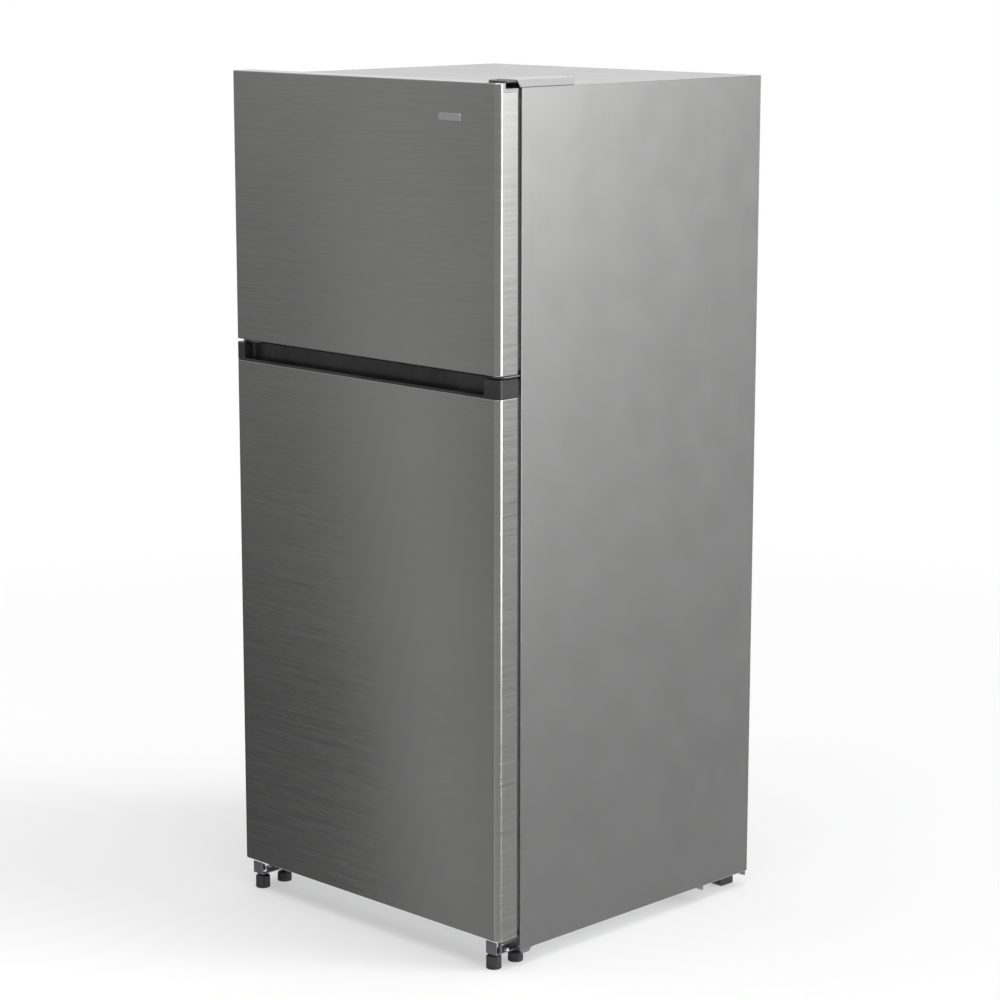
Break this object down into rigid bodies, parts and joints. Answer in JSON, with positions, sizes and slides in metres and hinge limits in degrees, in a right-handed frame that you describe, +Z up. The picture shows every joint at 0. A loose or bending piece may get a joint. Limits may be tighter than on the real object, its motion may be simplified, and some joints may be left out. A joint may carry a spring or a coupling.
{
  "type": "top freezer refrigerator",
  "caption": "Upright two-door refrigerator with the freezer on top: brushed-steel doors hinged on the right, a black pocket-handle band between them, and adjustable feet.",
  "frame": {"origin": "on the floor, under the middle of the whole refrigerator's box", "axes": "+Z up, -Y out of the doors (the front), +X towards the hinge side, right as seen from the front"},
  "size_m": [0.75, 0.7434, 1.706],
  "materials": {
    "door_steel": "satin",
    "side_steel": "satin",
    "top_steel": "satin",
    "zinc_steel": "satin",
    "foam": "matte",
    "white_plastic": "satin",
    "shelf_glass": "polished",
    "clear_plastic": "gloss",
    "lamp_plastic": "satin",
    "grey_plastic": "satin",
    "black_plastic": "satin",
    "foot_plastic": "matte",
    "gasket_rubber": "matte",
    "fin_aluminium": "satin",
    "black_enamel": "satin",
    "hinge_steel": "satin",
    "bracket_steel": "satin"
  },
  "bodies": {
    "cabinet": {"side_panel_left": "side_steel", "side_panel_right": "side_steel", "front_rail": "side_steel", "mullion_rail": "side_steel", "top_panel": "top_steel", "back_panel": "zinc_steel", "bottom_panel": "zinc_steel", "base_plate": "zinc_steel", "condenser_fan_mount": "zinc_steel", "compressor_cover": "zinc_steel", "cabinet_insulation": "foam", "freezer_liner": "white_plastic", "fridge_liner": "white_plastic", "control_box": "white_plastic", "evaporator_cover": "white_plastic", "freezer_shelf": "shelf_glass", "fridge_shelf_upper": "shelf_glass", "fridge_shelf_middle": "shelf_glass", "crisper_cover": "shelf_glass", "ice_bin": "clear_plastic", "lamp_lens": "lamp_plastic", "evaporator_fan_motor": "grey_plastic", "top_hinge_cover": "grey_plastic", "drip_pan": "black_plastic", "cord_gland": "black_plastic", "rear_foot_left": "foot_plastic", "rear_foot_right": "foot_plastic", "evaporator_coil": "fin_aluminium", "condenser_coil": "fin_aluminium", "compressor": "black_enamel", "top_hinge": "hinge_steel", "middle_hinge": "bracket_steel", "lower_bracket_right": "bracket_steel", "lower_bracket_left": "bracket_steel"},
    "freezer_door": {"freezer_door_skin": "door_steel", "freezer_door_foam": "foam", "freezer_door_liner": "white_plastic", "freezer_door_gasket": "gasket_rubber", "freezer_door_top_cap": "grey_plastic", "freezer_door_bottom_cap": "grey_plastic", "freezer_door_bin_lower": "clear_plastic", "freezer_door_bin_upper": "clear_plastic"},
    "fridge_door": {"fridge_door_skin": "door_steel", "fridge_door_foam": "foam", "fridge_door_liner": "white_plastic", "fridge_door_gasket": "gasket_rubber", "handle_cap": "black_plastic", "fridge_door_bottom_cap": "grey_plastic", "fridge_door_bin_lower": "clear_plastic", "fridge_door_bin_middle": "clear_plastic", "fridge_door_bin_upper": "clear_plastic"},
    "left_drawer": {"crisper_left": "clear_plastic"},
    "right_drawer": {"crisper_right": "clear_plastic"},
    "knob": {"temperature_knob": "grey_plastic"},
    "freezer_blower": {"evaporator_fan": "black_plastic"},
    "machine_blower": {"condenser_fan": "black_plastic"},
    "front_left_foot": {"front_foot_left": "foot_plastic"},
    "front_right_foot": {"front_foot_right": "foot_plastic"},
    "inner_left_foot": {"inner_foot_left": "foot_plastic"},
    "inner_right_foot": {"inner_foot_right": "foot_plastic"}
  },
  "joints": [
    {"name": "freezer_door_hinge", "type": "hinge", "parent": "cabinet", "child": "freezer_door", "pos_m": [0.353, -0.34425, 1.43], "axis": [0, 0, 1], "range_deg": [0, 125]},
    {"name": "fridge_door_hinge", "type": "hinge", "parent": "cabinet", "child": "fridge_door", "pos_m": [0.353, -0.34425, 0.6], "axis": [0, 0, 1], "range_deg": [0, 125]},
    {"name": "crisper_left_slide", "type": "slide", "parent": "cabinet", "child": "left_drawer", "axis": [0, -1, 0], "range_m": [0, 0.19]},
    {"name": "crisper_right_slide", "type": "slide", "parent": "cabinet", "child": "right_drawer", "axis": [0, -1, 0], "range_m": [0, 0.19]},
    {"name": "temperature_knob_turn", "type": "hinge", "parent": "cabinet", "child": "knob", "pos_m": [0.056, -0.18355, 1.0992], "axis": [0, -1, 0], "range_deg": [0, 270]},
    {"name": "evaporator_fan_spin", "type": "hinge", "parent": "cabinet", "child": "freezer_blower", "pos_m": [0, 0.26675, 1.5495], "axis": [0, 1, 0], "continuous": true},
    {"name": "condenser_fan_spin", "type": "hinge", "parent": "cabinet", "child": "machine_blower", "pos_m": [-0.008, 0.27925, 0.143], "axis": [1, 0, 0], "continuous": true},
    {"name": "front_foot_left_height", "type": "slide", "parent": "cabinet", "child": "front_left_foot", "axis": [0, 0, 1], "range_m": [-0.012, 0]},
    {"name": "front_foot_right_height", "type": "slide", "parent": "cabinet", "child": "front_right_foot", "axis": [0, 0, 1], "range_m": [-0.012, 0]},
    {"name": "inner_foot_left_height", "type": "slide", "parent": "cabinet", "child": "inner_left_foot", "axis": [0, 0, 1], "range_m": [-0.012, 0]},
    {"name": "inner_foot_right_height", "type": "slide", "parent": "cabinet", "child": "inner_right_foot", "axis": [0, 0, 1], "range_m": [-0.012, 0]}
  ],
  "couplings": [
    {"joint": "crisper_left_slide", "follows": "fridge_door_hinge", "m_per_rad": 0.087},
    {"joint": "crisper_right_slide", "follows": "fridge_door_hinge", "m_per_rad": 0.087}
  ]
}
